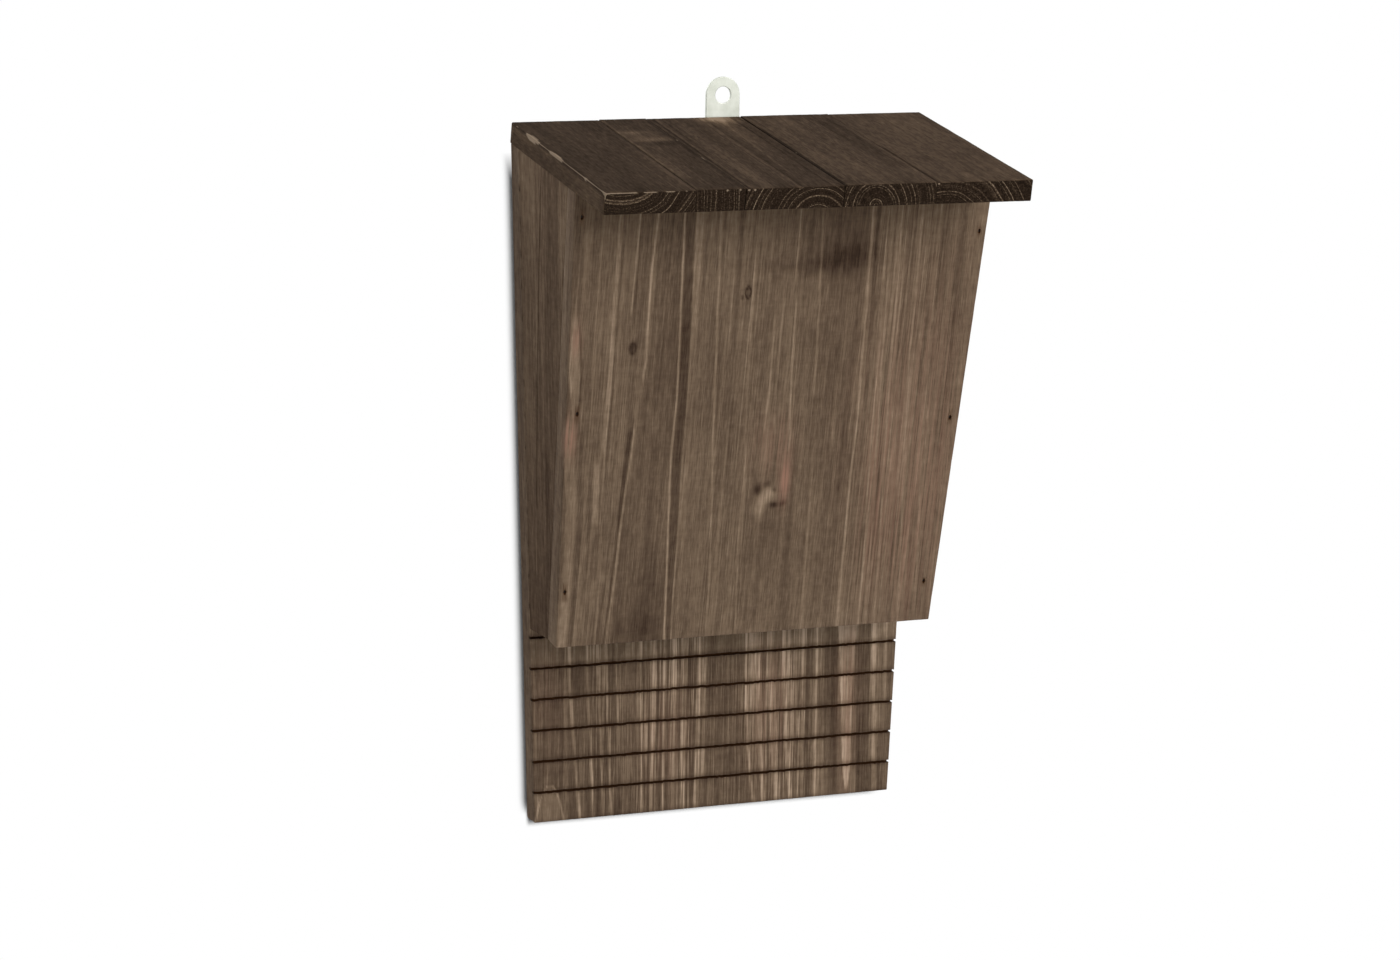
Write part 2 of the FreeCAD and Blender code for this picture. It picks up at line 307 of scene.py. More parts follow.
LANDING_STREAKS = (
    # Left half
    (((UPPER, -102.4), (LOWER, -98.6)), 0.6, 0.3),
    (((UPPER, -83.3), (-290, -82.3), (-330, -79), (LOWER, -75.4)), 0.8, 0.6),
    (((UPPER, -74.0), (-290, -72.7), (-330, -70.5), (LOWER, -68)), 0.7, 0.55),
    (((UPPER, -68.2), (-290, -66.8), (-330, -65), (LOWER, -63)), 0.65, 0.65),
    (((UPPER, -63.8), (-290, -62.4), (-330, -60.8), (LOWER, -58.6)), 0.6, 0.6),
    (((UPPER, -58.4), (-290, -57), (-340, -54.5)), 0.4, 0.45),
    (((UPPER, -51), (-292, -50), (-345, -48)), 0.4, 0.3),
    (((UPPER, -44.5), (-292, -44), (LOWER, -42.2)), 0.55, 0.8),
    (((UPPER, -41.8), (-292, -41.3), (-340, -40.6)), 0.5, 0.6),
    (((UPPER, -38), (-292, -37), (LOWER, -38)), (1.3, 1.5, 0.8), 0.5),
    (((UPPER, -31.2), (-292, -30.9), (LOWER, -31.4)), 0.8, 0.5),
    (((UPPER, -26.4), (-292, -25.4), (LOWER, -26)), 0.8, 0.58),
    (((UPPER, -21.2), (-292, -19.9), (LOWER, -20.4)), (1.4, 1.4, 1.0), 0.55),
    (((UPPER, -12.9), (-294, -12.2), (LOWER, -14)), (0.8, 1.0, 0.8), 0.4),
    (((UPPER, -10), (-294, -9.5), (-350, -10)), 2.2, 0.22),
    # Right half
    (((UPPER, 2), (LOWER, 3)), 9.0, -0.04),
    (((UPPER, 13.2), (-291, 13.6), (-330, 15.5), (LOWER, 20)), 0.7, 0.6),
    (((UPPER, 16.6), (-291, 17), (LOWER, 22)), 2.6, 0.18),
    (((UPPER, 19.8), (-291, 20.3), (-330, 22), (LOWER, 25.5)), 1.1, 0.54),
    (((UPPER, 27), (-291, 27.6), (-330, 30), (LOWER, 33)), (2.2, 2.3, 2.0, 1.2), 0.54),
    (((UPPER, 34.2), (-291, 34.8), (-330, 37), (LOWER, 40.5)), (1.3, 1.3, 1.3, 1.0), 0.55),
    (((UPPER, 41), (-291, 41.6), (-330, 43.4)), 0.8, 0.45),
    (((UPPER, 44.3), (-291, 45.6), (LOWER, 46.4)), 1.0, 0.45),
    (((UPPER, 48.6), (LOWER, 50)), 1.6, -0.22),
    (((UPPER, 52.8), (LOWER, 53.8)), 0.75, 0.6),
    (((UPPER, 55.3), (LOWER, 57)), 1.9, 0.25),
    # Pale wedge with its rims, and the right end
    (((UPPER, 61.5), (LOWER, 64)), 2.8, -0.3),
    (((UPPER, 70), (-285, 70.3), (-311, 70.5), (-343, 71.3), (-362, 71.2)), (6.4, 4.0, 2.9, 2.2, 0.1), 0.74),
    (((UPPER, 63.2), (-285, 66.3), (-311, 67.6), (-343, 69.1), (-360, 71)), 0.4, 0.4),
    (((UPPER, 77), (-285, 74.3), (-311, 73.3), (-343, 73.6), (-360, 71.4)), 0.4, 0.4),
    (((UPPER, 80.2), (LOWER, 80)), 3.4, -0.3),
    (((UPPER, 84.8), (-297, 85.6), (LOWER, 87.5)), 1.3, 0.5),
    (((UPPER, 92), (-320, 92.8)), 0.6, 0.34),
)
LANDING_ROSY = (
    (28, -310, 12, 34, 0.34),
    (71, -310, 5, 60, 0.4),
    (-30, -320, 14, 30, 0.2),
    (-94, -290, 10, 40, 0.1),
)
# Pale arch at the foot: apex x, apex z and spread in mm per root mm of drop
LANDING_ARCH = (-92.4, -342.0, 1.78)
LANDING_GAIN = 1.35            # its streaks stand out more than the front board's
# Height of the lowest kerf, from one kerf to the next, and the height above which the board is painted
# paler: painted light that offsets the front board's shadow on the top strip
LANDING_FOOT, LANDING_STRIP, FIRST_STRIP = -345.5, 16.0, -283.0
FIRST_STRIP_PAINTED_LIGHT = 0.35
STRIP_FADE = (0.3, 0.12)       # shares of a strip over which its marks come in from below and above
STRIP_DRIFT = 0.35             # how far the streaks of one strip lie from those of the next
ARCH_TONE, ARCH_RIM = 0.35, 0.95
# Zones of close fine streaks: middle x, half width and strength
LANDING_FINE_ZONES = ((-27, 20, 0.75), (32, 20, 0.7), (-64, 10, 0.4))
FOOT_ROUND = 2.2               # radius of the foot's knocked rear arris

# Outer faces of the side boards: places are y
SIDE_STREAKS = (
    # From the rear edge forwards
    (((HEAD, -20), (FOOT, -20)), 6.0, 0.1),
    (((HEAD, -23), (-150, -22)), 0.5, 0.16),
    (((HEAD, -42), (-98, -32.6), (-134, -28.8), (-200, -24)), 0.6, -0.55),
    (((HEAD, -40.4), (-98, -31.2), (-134, -27.4)), 0.5, 0.3),
    (((HEAD, -54), (-140, -48), (FOOT, -34)), (9, 8, 3), -0.18),
    (((HEAD, -50), (-63, -45.2), (-90, -43)), 0.6, 0.28),
    (((HEAD, -66), (-104, -64.9), (-142, -57.5)), 0.6, 0.35),
    (((HEAD, -73), (-80, -71), (-130, -66)), 1.2, 0.18),
    (((-200, -24), (FOOT, -19)), 0.6, 0.22),
)
SIDE_PATCHES = (
    (-39, -181, 3.6, 18, -0.32),
    (-55, -38, 20, 8, -0.14),
)


# Meshes

def grid_lines(length, pitch, ease, more=()):
    """Places of grid lines over a length, with extra ones where the arris is rounded.
    With no pitch, the lines between the arrises are only the extra ones."""
    bend = ease * (1 - math.tan(math.radians(22.5)))
    steps = max(1, round((length - 2 * ease) / pitch)) if pitch else 1
    inner = np.linspace(ease, length - ease, steps + 1)
    lines = np.concatenate([[0, bend], inner, [length - bend, length], more])
    lines = np.unique(np.round(lines, 3))
    keep = np.concatenate([[True], np.diff(lines) > 2 * SAME])
    return lines[keep]


def skin_of_cells(lines, is_empty=None):
    """Vertices and outward quads round all the filled cells of a grid."""
    shape = [len(line) - 1 for line in lines]
    filled = np.ones(shape, bool)
    if is_empty is not None:
        middles = [(line[:-1] + line[1:]) / 2 for line in lines]
        filled &= ~is_empty(*np.meshgrid(*middles, indexing="ij"))
    padded = np.pad(filled.astype(np.int8), 1)
    counts = [len(line) for line in lines]
    quads = []
    for axis in range(3):
        first, second = (axis + 1) % 3, (axis + 2) % 3
        core = [slice(1, -1)] * 3
        core[axis] = slice(None)
        change = np.diff(padded[tuple(core)], axis=axis)
        for sign in (-1, 1):
            cells = np.argwhere(change == sign)
            steps = [(0, 0), (1, 0), (1, 1), (0, 1)]
            ring = []
            for step in steps[::-sign]:
                corner = cells.copy()
                corner[:, first] += step[0]
                corner[:, second] += step[1]
                ring.append(np.ravel_multi_index(corner.T, counts))
            quads.append(np.stack(ring, axis=1))
    quads = np.concatenate(quads)
    used, quads = np.unique(quads, return_inverse=True)
    spots = np.unravel_index(used, counts)
    points = np.stack([line[spot] for line, spot in zip(lines, spots)], axis=1)
    return points, quads.reshape(-1, 4)


def into_board(shares, corners):
    """Points of a unit cube, carried to the board with these eight corners."""
    placed = np.zeros((len(shares), 3))
    for corner in np.ndindex(2, 2, 2):
        weight = np.prod(np.where(corner, shares, 1 - shares), axis=1)
        placed += weight[:, None] * corners[corner]
    return placed


def make_board(name, corners, pitches, ease, finish, more=((), (), ()), is_empty=None, wear_down=None):
    """Board with eased arrises. finish(straight, size, placed) returns its relief in mm, outwards,
    and its named attributes; straight is mm in the board's own frame. wear_down(straight, size,
    shaped) moves points of torn edges and worn corners."""
    size = np.array([
        np.linalg.norm(corners[1] - corners[0], axis=-1).mean(),
        np.linalg.norm(corners[:, 1] - corners[:, 0], axis=-1).mean(),
        np.linalg.norm(corners[:, :, 1] - corners[:, :, 0], axis=-1).mean(),
    ])
    lines = [grid_lines(size[i], pitches[i], ease, more[i]) for i in range(3)]
    straight, quads = skin_of_cells(lines, is_empty)
    placed = into_board(straight / size, corners)
    relief, attributes = finish(straight, size, placed)
    core = np.clip(straight, ease, size - ease)
    outwards = straight - core
    on_skin = np.abs(outwards).max(axis=1) > ease - 0.001
    outwards /= np.maximum(np.linalg.norm(outwards, axis=1), 1e-9)[:, None]
    shaped = np.where(on_skin[:, None], core + outwards * (ease + relief)[:, None], straight)
    if wear_down is not None:
        wear_down(straight, size, shaped)
    points = into_board(shaped / size, corners) * MM
    sides = np.array([corners[1, 0, 0], corners[0, 1, 0], corners[0, 0, 1]]) - corners[0, 0, 0]
    if np.linalg.det(sides) < 0:
        quads = quads[:, ::-1]
    mesh = bpy.data.meshes.new(name)
    mesh.from_pydata(points.tolist(), [], quads.tolist())
    for key, values in attributes.items():
        mesh.attributes.new(key, "FLOAT", "POINT").data.foreach_set("value", values.astype(np.float32))
    return mesh


# Faces whose middle lies this near to a pin's mouth, across, along and into the board, make room for a pit
PIT_WINDOW = (1.7, 4.6, 0.8)
# Rings of a pit, from its mouth down: half width, half length and depth
PIT_RINGS = ((0.74, 1.35, 0.03), (0.71, 1.15, 0.35), (0.7, 0.8, 1.0), (0.7, 0.7, 1.7))
PIT_STEPS = 18
PIT_TEAR = 0.18                # share by which a pit is torn out of round
PIT_MOUTH_SHADE, PIT_SHADE_PER_MM = 0.35, 2         # painted shade in a pit: how dark its mouth is painted, and by how much more each mm down
PIN_SINK = 1.0                 # from the board's face down to a pin
OUTWARDS = -0.9                # a face looks out of the board from this share of its normal


def open_pits(mesh, heads, inwards, grain):
    """Opens a torn, slightly long pit in the board's face over each sunk pin, its walls painted darker with
    depth as painted shade.
    """
    bm = bmesh.new()
    bm.from_mesh(mesh)
    inwards = Vector(inwards)
    grain = Vector(grain)
    across = grain.cross(inwards)
    limits = [(axis, reach * MM) for axis, reach in zip((across, grain, inwards), PIT_WINDOW)]
    char = bm.verts.layers.float["char"]
    for number, head in enumerate(heads):
        mouth = (Vector(head) - inwards * PIN_SINK) * MM
        window = []
        for face in bm.faces:
            away = face.calc_center_median() - mouth
            near = all(abs(away.dot(axis)) < reach for axis, reach in limits)
            if near and face.normal.dot(inwards) < OUTWARDS:
                window.append(face)
        bmesh.ops.delete(bm, geom=window, context="FACES")
        outer = [edge for edge in bm.edges if edge.is_boundary]
        rings = []
        for width, height, depth in PIT_RINGS:
            ring = []
            for step in range(PIT_STEPS):
                turn = 2 * math.pi * step / PIT_STEPS
                tear = 1 + PIT_TEAR * math.sin(3 * turn + 2 * number) * math.cos(2 * turn + number)
                spot = across * (width * tear * math.cos(turn)) + grain * (height * tear * math.sin(turn))
                vert = bm.verts.new(mouth + (spot + inwards * depth) * MM)
                # Painted shade: the pit's walls are painted darker the deeper they lie
                vert[char] = min(1.0, PIT_MOUTH_SHADE + PIT_SHADE_PER_MM * depth)
                ring.append(vert)
            rings.append(ring)
        rim = [bm.edges.new(pair) for pair in zip(rings[0], rings[0][1:] + rings[0][:1])]
        bmesh.ops.triangle_fill(bm, use_beauty=True, edges=outer + rim, normal=-inwards)
        for upper, lower in zip(rings, rings[1:]):
            for step in range(PIT_STEPS):
                after = (step + 1) % PIT_STEPS
                bm.faces.new((upper[step], lower[step], lower[after], upper[after]))
        bm.faces.new(rings[-1])
        bmesh.ops.recalc_face_normals(bm, faces=bm.faces)
    bm.to_mesh(mesh)
    bm.free()


def add_object(name, data):
    """Object of this data, in the scene."""
    placed = bpy.data.objects.new(name, data)
    bpy.context.scene.collection.objects.link(placed)
    return placed


def into_mesh(name, maker):
    """Plain mesh of what an object makes when it is evaluated. The object goes."""
    made = maker.evaluated_get(bpy.context.evaluated_depsgraph_get())
    mesh = bpy.data.meshes.new_from_object(made)
    bpy.data.objects.remove(maker)
    mesh.name = name
    return mesh


def finish_piece(mesh, material, replaced, smooth_faces=True):
    """Object for a finished mesh, on the box's one body, standing for a CAD node."""
    piece = add_object(mesh.name, mesh)
    mesh.materials.clear()
    mesh.materials.append(material)
    if smooth_faces:
        mesh.shade_smooth()
        mesh.set_sharp_from_angle(angle=SHARP)
    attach(piece, "root")
    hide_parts(*replaced)


# Finishes of the boards: relief and attributes

FACE_DEPTH = 1.5               # the marks of a face fade out over this depth
ARRIS_REACH = 0.9              # knocks reach this far from an arris
KNOCK_DEPTH, DENT_DEPTH = 0.1, 0.05
MARK_RELIEF, RIB_RELIEF, WAVE_RELIEF = 0.07, 0.04, 0.06
ACROSS_RIBS = (1.5, 1.5, 30)   # size of the ribs of raised grain where the grain is upright
KERF_SHADE = (0.15, 0.5)      # painted shade, with the stain that ran in: depth where a kerf's walls begin to be painted dark, and over which they get so
KERF_MARGINS = (0.5, 1)        # the kerfs' dark ends this far from the board's sides and ends
KERF_TEARS = ((0.26, (1.4, 1, 3), 71), (0.1, (14, 1, 3), 72))      # depth, cell and seed of the tears
SIDE_TONE = 0.06               # the side boards' tone, and how they darken from this height over this length
SIDE_DARKER, SIDE_FROM, SIDE_OVER = 0.34, -110, 160


def on_face(depth):
    """1 on a board's outer face, down to 0 where its marks have faded out."""
    return smooth(1 - depth / FACE_DEPTH)


def worn_arris(straight, size, placed, seed):
    """How far the arrises are dented, in mm, from where they are and how they were knocked."""
    ends = np.sort(np.minimum(straight, size - straight), axis=1)
    near = smooth(1 - ends[:, 1] / ARRIS_REACH)
    knocks = np.clip(value_noise(placed, (3, 3, 3), seed) * 1.6 - 0.5, 0, 1)
    return near * (KNOCK_DEPTH * knocks + DENT_DEPTH * value_noise(placed, (9, 9, 9), seed + 1))


def raised_grain(placed, tone, seed, cell):
    """Relief of a sawn and stained face: firm late wood stands up, soft wood lies lower."""
    ribs = value_noise(placed, cell, seed)
    waves = value_noise(placed, (30, 30, 70), seed + 5)
    return MARK_RELIEF * np.clip(tone, -1, 1) + RIB_RELIEF * ribs + WAVE_RELIEF * waves


def finish_front(straight, size, placed):
    outer = on_face(straight[:, 1])
    x, z = placed[:, 0], placed[:, 2]
    wander = 0.5 * value_noise(placed, (60, 60, 45), 11)
    ragged = 0.8 * value_noise(placed, (3, 3, 5), 12)
    tone = lay_streaks(x + wander, z, FRONT_STREAKS) + lay_patches(x + ragged, z + 2 * ragged, FRONT_PATCHES)
    for centre, level, half_width, half_height, heart, ring in KNOTS:
        far = np.hypot((x - centre) / half_width, (z - level) / half_height)
        tone += heart * smooth((1.15 - far) / 0.4) + ring * smooth(1 - np.abs(far - 1) / 0.45)
    tone *= outer
    rosy = lay_patches(x, z, ROSY_PATCHES) * outer
    fine_lines = lay_patches(x, z, FINE_PATCHES) * outer
    relief = raised_grain(placed, tone, 3, ACROSS_RIBS) - worn_arris(straight, size, placed, 21)
    return relief, {"tone": tone, "rosy": rosy, "lines": fine_lines, "char": np.zeros(len(tone))}


def landing_tone(x, z):
    """Streaks of the landing board. Each strip between two kerfs took the stain a little differently, and
    the top strip is painted paler as painted light.
    """
    strip = np.floor((z - LANDING_FOOT) / LANDING_STRIP)
    drift = STRIP_DRIFT * value_noise(np.stack([x * 0, strip, z / 40], 1), (1, 0.77, 1), 31)
    place = (z - LANDING_FOOT) / LANDING_STRIP - strip
    clear = smooth(place / STRIP_FADE[0]) * smooth((1 - place) / STRIP_FADE[1])
    tone = LANDING_GAIN * lay_streaks(x + drift, z, LANDING_STREAKS) * (0.55 + 0.45 * clear)
    taken = value_noise(np.stack([x, strip, strip * 0], 1), (5, 0.77, 1), 32)
    tone *= 1 + 0.4 * taken
    zone = 0.3
    for centre, half_width, gain in LANDING_FINE_ZONES:
        zone = zone + gain * smooth(1.4 - np.abs(x - centre) / half_width)
    fine_lines = zone * (1 + 0.5 * taken) * (0.4 + 0.6 * clear)
    # Painted light: the top strip, under the front board, is made paler
    tone += 0.16 * taken + FIRST_STRIP_PAINTED_LIGHT * smooth((z - FIRST_STRIP) / 4) + 0.14 * np.clip(x / 60, -1, 1)
    apex_x, apex_z, spread = LANDING_ARCH
    side = spread * np.sqrt(np.clip(apex_z - z, 0, None))
    below = smooth((apex_z - z) / 1.0)
    within = smooth((side - np.abs(x - apex_x)) / 1.2) * below
    tone = tone * (1 - within) + ARCH_TONE * within
    rim = below * smooth(1 - np.abs(np.abs(x - apex_x) - side) / 1.0)
    return tone + ARCH_RIM * rim, fine_lines * (1 - within)


def finish_back(kerf_floor):
    def finish(straight, size, placed):
        face = on_face(straight[:, 1])
        x, z = placed[:, 0], placed[:, 2]
        tone, fine_lines = landing_tone(x, z)
        tone = tone * face
        rosy = lay_patches(x, z, LANDING_ROSY) * face
        # Painted shade, with the stain that ran in: the kerfs' walls are painted darker below the face
        char = smooth((straight[:, 1] - KERF_SHADE[0]) / KERF_SHADE[1])
        char *= straight[:, 1] < kerf_floor + SAME
        for axis, margin in zip((0, 2), KERF_MARGINS):
            char *= np.minimum(straight[:, axis], size[axis] - straight[:, axis]) >= margin
        relief = raised_grain(placed, tone, 33, (1.6, 1.6, 30)) - worn_arris(straight, size, placed, 41)
        return relief, {"tone": tone, "rosy": rosy, "lines": fine_lines * face, "char": char, "pooled": face}
    return finish


def tear_kerfs(edges, floor):
    """The saw tore the kerfs' edges by a quarter of a mm, and the foot's rear arris is knocked round."""
    def wear_down(straight, size, shaped):
        on_edge = np.zeros(len(straight), bool)
        for edge in edges:
            on_edge |= np.abs(straight[:, 2] - edge) < SAME
        torn = on_edge & (straight[:, 1] < floor)
        points = straight * (1, 0, 1)
        for depth, cell, seed in KERF_TEARS:
            shaped[:, 2] += torn * depth * value_noise(points, cell, seed)
        centre = shaped.copy()
        centre[:, 1] = np.minimum(centre[:, 1], size[1] - FOOT_ROUND)
        centre[:, 2] = np.maximum(centre[:, 2], FOOT_ROUND)
        far = shaped - centre
        length = np.linalg.norm(far, axis=1)
        past = length > FOOT_ROUND
        shaped[past] = (centre + far * (FOOT_ROUND / np.maximum(length, 1e-9))[:, None])[past]
    return wear_down


def finish_side(seed):
    def finish(straight, size, placed):
        outer = on_face(straight[:, 1])
        y, z = placed[:, 1], placed[:, 2]
        tone = lay_streaks(y, z, SIDE_STREAKS) + lay_patches(y, z, SIDE_PATCHES)
        tone = (tone + SIDE_TONE - SIDE_DARKER * smooth((SIDE_FROM - z) / SIDE_OVER)) * outer
        relief = raised_grain(placed, tone, seed, ACROSS_RIBS)
        return relief - worn_arris(straight, size, placed, seed + 3), {"tone": tone}
    return finish


# Wear of the roof's left arris, as (from, to, half width) along the stave from its rear edge
LEFT_ARRIS_WEAR = ((6, 10, 0.2), (19, 40, 0.7), (23, 36, 1.7), (38, 54, 0.15), (51, 70, 0.8),
                   (55, 66, 1.4), (64, 126, 0.2), (98, 102, 0.6), (107, 111, 0.7), (118, 127, 0.4))
# The same of its front arris, from the left end
FRONT_ARRIS_WEAR = ((0, 17, 0.4), (19, 27, 0.35), (30, 36, 0.35), (40, 42, 0.4))
LEFT_FACE_PAINTED_LIGHT = 0.48          # painted light: the roof's left face is painted paler than its top
# Bare specks on the left arris of a stave, as (from, to) along it, and bare chips on its front arris,
# in mm from its left edge
JOINT_WEAR = {
    3: ((24, 25), (38, 40), (58, 59), (70, 72), (74, 75), (91, 92), (104, 106)),
    4: ((40, 41), (66, 68), (96, 97)),
}
FRONT_CHIPS = {2: (15.5, 22.0), 3: (1.5, 4.5), 4: (49.0,), 5: (0.8,)}

REAR, FRONT = 10, -130         # places beyond both ends of the staves

# Marks on the staves' upper faces: streaks by (distance from the rear edge as a height below 0, place
# from the stave's left edge), and patches as (place, -distance, half width, half length, tone)
STAVE_STREAKS = {
    1: ((((-48, 41), (-66, 43), (FRONT, 44.5)), (0.8, 2.0, 1.0), 0.25),),
    2: (
        (((-45, 1.5), (-70, 3.0), (-112, 3.5)), (1.0, 3.2, 2.0), 0.3),
        (((REAR, 0.7), (FRONT, 0.7)), 0.7, 0.3),
        (((REAR, 23.6), (FRONT, 23.8)), 0.5, -0.3),
    ),
    3: (
        (((REAR, 3.0), (FRONT, 1.6)), 0.5, -0.55),
        (((REAR, 4.6), (FRONT, 3.0)), 0.6, 0.35),
        (((REAR, 7.0), (-70, 6.2)), 0.6, -0.35),
        (((REAR, 14.0), (FRONT, 12.0)), 3.0, 0.16),
        (((REAR, 28.2), (FRONT, 27.1)), 0.7, 0.32),
        (((REAR, 30.0), (FRONT, 29.0)), 0.7, -0.36),
        (((REAR, 38.5), (FRONT, 31.0)), 0.6, 0.3),
        (((REAR, 45.0), (FRONT, 44.0)), 0.6, -0.4),
    ),
    4: (
        (((-20, 0.8), (FRONT, 0.8)), 0.6, -0.8),
        (((-12, 40), (-100, 41)), 5.0, -0.3),
        (((REAR, 20), (FRONT, 22)), 4.0, 0.1),
    ),
    5: (
        (((-58, 0.9), (FRONT, 0.9)), 0.5, -0.85),
        (((REAR, 38), (FRONT, 40)), 5.0, 0.1),
    ),
}
STAVE_PATCHES = {
    2: (
        (10.0, -33, 12.0, 13, 0.3),
        (8.0, -26, 9.0, 2.8, 0.7),
        (14.5, -38.5, 10.0, 3.2, 0.8),
        (16.0, -45, 9.0, 1.8, -0.8),
    ),
    3: (
        (37, -3, 10, 8, 1.9),
        (36, -24, 8, 28, 0.4),
        (44, -60, 4, 30, -0.12),
    ),
    4: ((35, -20, 9, 14, -0.14),),
}


def between(place, start, end):
    """1 from start to end, with soft ends."""
    return smooth((place - start) / 2) * smooth((end - place) / 2)


def finish_stave(number, joints, is_first):
    """Finish of one stave; joints is how dark its left and right glue lines are."""
    def finish(straight, size, placed):
        place, below, along = straight.T
        tone = lay_streaks(place, -along, STAVE_STREAKS.get(number, ()))
        tone = (tone + lay_patches(place, -along, STAVE_PATCHES.get(number, ()))) * on_face(below)
        to_left = np.hypot(place, below)
        to_front = np.hypot(size[2] - along, below)
        wear = np.zeros(len(place))
        rubs = [(along, start - 1, end + 1, to_left, 0.8) for start, end in JOINT_WEAR.get(number, ())]
        if is_first:
            # Painted light on the left face of the first stave
            tone += LEFT_FACE_PAINTED_LIGHT * smooth(1 - place) * smooth((below - 0.5) / 1.5)
            rubs += [(along, start, end, to_left, half + 0.4) for start, end, half in LEFT_ARRIS_WEAR]
            rubs += [(place, start - 1, end, to_front, half + 0.3)
                     for start, end, half in FRONT_ARRIS_WEAR]
            corner = np.hypot(place, size[2] - along) + 0.25 * below
            wear = smooth((1.3 - corner) / 0.6)
        for run, start, end, far, half in rubs:
            wear = np.maximum(wear, between(run, start, end) * smooth((half - far) / 0.5))
        # Painted highlight: pale flecks along each stave's front arris
        painted_arris_highlight = np.clip(value_noise(placed, (2.5, 2.5, 2.5), 80 + number), 0, 1)
        tone += 0.9 * smooth(1.2 - to_front) * painted_arris_highlight
        to_chip = np.hypot(size[2] - along, below - 0.6)
        for chip in FRONT_CHIPS.get(number, ()):
            wear = np.maximum(wear, smooth(1.2 - np.hypot(to_chip, place - chip) / 0.9))
        char = np.zeros(len(place))
        for edge, dark in zip((place, size[0] - place), joints):
            char = np.maximum(char, dark * smooth(1 - edge / 0.5))
        relief = 0.7 * raised_grain(placed, tone, 50 + number, (1.5, 30, 1.5))
        relief -= worn_arris(straight, size, placed, 60 + number) + 0.1 * wear
        return relief, {"tone": tone, "wear": wear, "char": char}
    return finish


# Materials

def linear(colour):
    """sRGB hex as the linear colour that a node takes."""
    parts = [int(colour[i:i + 2], 16) / 255 for i in (1, 3, 5)]
    return [p / 12.92 if p < 0.04045 else ((p + 0.055) / 1.055) ** 2.4 for p in parts] + [1.0]


def add_node(tree, kind, inputs=(), stops=(), **settings):
    """Adds a node, a shader node unless its kind says Node. A kind can name its operation too. Inputs are
    a list from the first, or go by name: values, sockets or nodes, whose first output is taken. A
    MapRange's list is its value, the range that this comes from and the range that it goes to."""
    kind, _, operation = kind.partition(" ")
    node = tree.nodes.new(kind if "Node" in kind else f"ShaderNode{kind}")
    if operation:
        node.operation = operation
    for key, value in settings.items():
        setattr(node, key, value)
    for key, value in inputs.items() if isinstance(inputs, dict) else enumerate(inputs):
        if isinstance(value, bpy.types.Node):
            value = value.outputs[0]
        if isinstance(value, bpy.types.NodeSocket):
            tree.links.new(value, node.inputs[key])
        else:
            node.inputs[key].default_value = value
    for number, (position, colour) in enumerate(stops):
        elements = node.color_ramp.elements
        element = elements[number] if number < 2 else elements.new(position)
        element.position = position
        element.color = linear(colour)
    return node


def new_material(name):
    """Node material that is empty but for its texture coordinates, its add_node and these coordinates."""
    material = bpy.data.materials.new(name)
    material.use_nodes = True
    material.node_tree.nodes.clear()
    add = partial(add_node, material.node_tree)
    return material, add, add("TexCoord").outputs


# Tones of the stain, from the darkest early wood to wood where the stain is worn off
BOARD_STAIN = ((0.0, "#241a13"), (0.2, "#3e3026"), (0.42, "#5d4d3f"), (0.6, "#776553"),
               (0.8, "#97836f"), (1.0, "#b7a18c"))
END_STAIN = ((0.0, "#0d0805"), (0.3, "#231a13"), (0.55, "#41352a"), (0.8, "#6f5f4e"), (1.0, "#93826e"))
ROOF_STAIN = ((0.0, "#1a120b"), (0.2, "#2b2118"), (0.42, "#42352a"), (0.6, "#574738"),
              (0.8, "#776350"), (1.0, "#9a846e"))
ROSY_WOOD, BARE_WOOD = "#93705f", "#8f7e6b"
RING_BENDS, RING_SHIFT = (45, 45, 420), (9, 9, 0)      # size of the rings' bends, and how far they go
UNEVEN_SCALE, UNEVEN_YEARS = 0.13, 4.0  # how fast the years' widths change, and by how many years
# Half the way between the fainter lines, their half width, both in years, and their strength
FAINT_STEP, FAINT_WIDTH, FAINT_STRENGTH = 0.36, 0.05, 0.45
WEAKEST_RING = 0.12
END_PORES, END_RINGS = (1.1, -0.24), 1.15              # gain and base of an end's pores, gain of its rings
SOAKED = (0.48, 2.88)          # the stain pools between these distances from a kerf's middle
SOAK_TONES = (-0.1, 0.01)
FINE_CONTRAST = (0.47, 0.6, -0.12, 0.8)        # a range of the fine lines' noise, and the tones it becomes
ROSY_FIBRES, WORN_FIBRES = (0.38, 0.62), (0.18, 0.42)  # ranges of the fibres' noise over which these show
ROUGHNESS = (0.9, 0.65)        # of the darkest and the palest wood
PORES = (0.7, 0.7, 0.7)
FACING_END = (0.6, 0.85)       # how far a face looks along the grain where it begins to be end wood
RELIEF, FIBRE_HEIGHT = 0.6, 0.3        # the bump's strength, and the fibres' height in mm


def stretched_noise(add, local, cell, seed, detail):
    """Noise with spots as large as cell, in mm across, across and along the grain."""
    scaled = add("VectorMath MULTIPLY", [local, [1 / side for side in cell]])
    return add("TexNoise", {"Vector": scaled, "W": seed, "Scale": 1.0, "Detail": detail, "Roughness": 0.6},
               noise_dimensions="4D")


